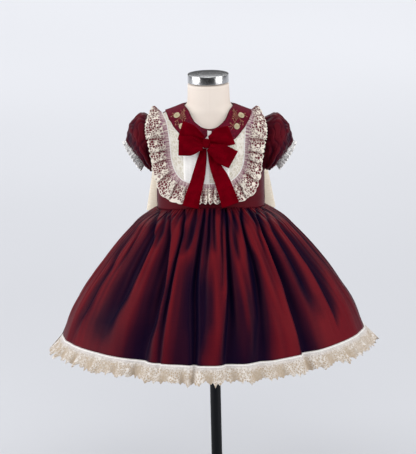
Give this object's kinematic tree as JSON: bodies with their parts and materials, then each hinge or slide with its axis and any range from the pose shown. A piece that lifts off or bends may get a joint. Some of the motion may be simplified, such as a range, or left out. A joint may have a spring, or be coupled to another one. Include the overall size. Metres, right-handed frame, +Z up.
{
  "type": "toddler party dress on a limbless dress form with stand",
  "caption": "Toddler party dress with lace-ruffled bib, velvet bow, puff sleeves and gathered skirt, shown on a limbless dress form with a pole stand.",
  "frame": {"origin": "centre of the round base's underside, on the floor", "axes": "+Z up along the pole, -Y the dress's front, +X the viewer's right seen from the front"},
  "size_m": [0.6081, 0.4662, 0.8255],
  "materials": {
    "burgundy_taffeta": "crisp shot taffeta, dull red lights and blue-purple shadows",
    "collar_brocade": "matt jacquard with fine gold embroidery",
    "bib_jacquard": "ivory lace panel with a smooth satin middle strip",
    "ruffle_lace": "cream corded lace over mauve netting",
    "hem_lace": "beige gathered lace with a white heading",
    "cuff_lace": "narrow white picot lace",
    "rosette_cream": "matt ribbon rosettes",
    "red_velvet": "short-pile velvet ribbon",
    "ivory_satin": "ivory satin",
    "form_cover": "smooth stretched jersey",
    "cap_chrome": "polished",
    "stand_black": "satin black"
  },
  "bodies": {
    "root": {"skirt_front": "burgundy_taffeta", "skirt_back_left": "burgundy_taffeta", "skirt_back_right": "burgundy_taffeta", "bodice_front": "burgundy_taffeta", "bodice_back_left": "burgundy_taffeta", "bodice_back_right": "burgundy_taffeta", "sleeve_left": "burgundy_taffeta", "sleeve_right": "burgundy_taffeta", "collar_left": "collar_brocade", "collar_right": "collar_brocade", "bib": "bib_jacquard", "bib_ruffle": "ruffle_lace", "hem_lace_front": "hem_lace", "hem_lace_back": "hem_lace", "cuff_lace_left": "cuff_lace", "cuff_lace_right": "cuff_lace", "rose_outer_left": "rosette_cream", "rose_outer_right": "rosette_cream", "rose_inner_left": "rosette_cream", "rose_inner_right": "rosette_cream", "bow_knot": "red_velvet", "bow_upper_left": "red_velvet", "bow_upper_right": "red_velvet", "bow_lower_left": "red_velvet", "bow_lower_right": "red_velvet", "bow_tail_left": "red_velvet", "bow_tail_right": "red_velvet", "back_bow_knot": "ivory_satin", "back_bow_left": "ivory_satin", "back_bow_right": "ivory_satin", "back_tail_left": "ivory_satin", "back_tail_right": "ivory_satin", "sash_left": "ivory_satin", "sash_right": "ivory_satin", "dress_form": "form_cover", "neck_cap": "cap_chrome", "stand_base": "stand_black", "stand_pole": "stand_black"}
  },
  "joints": []
}
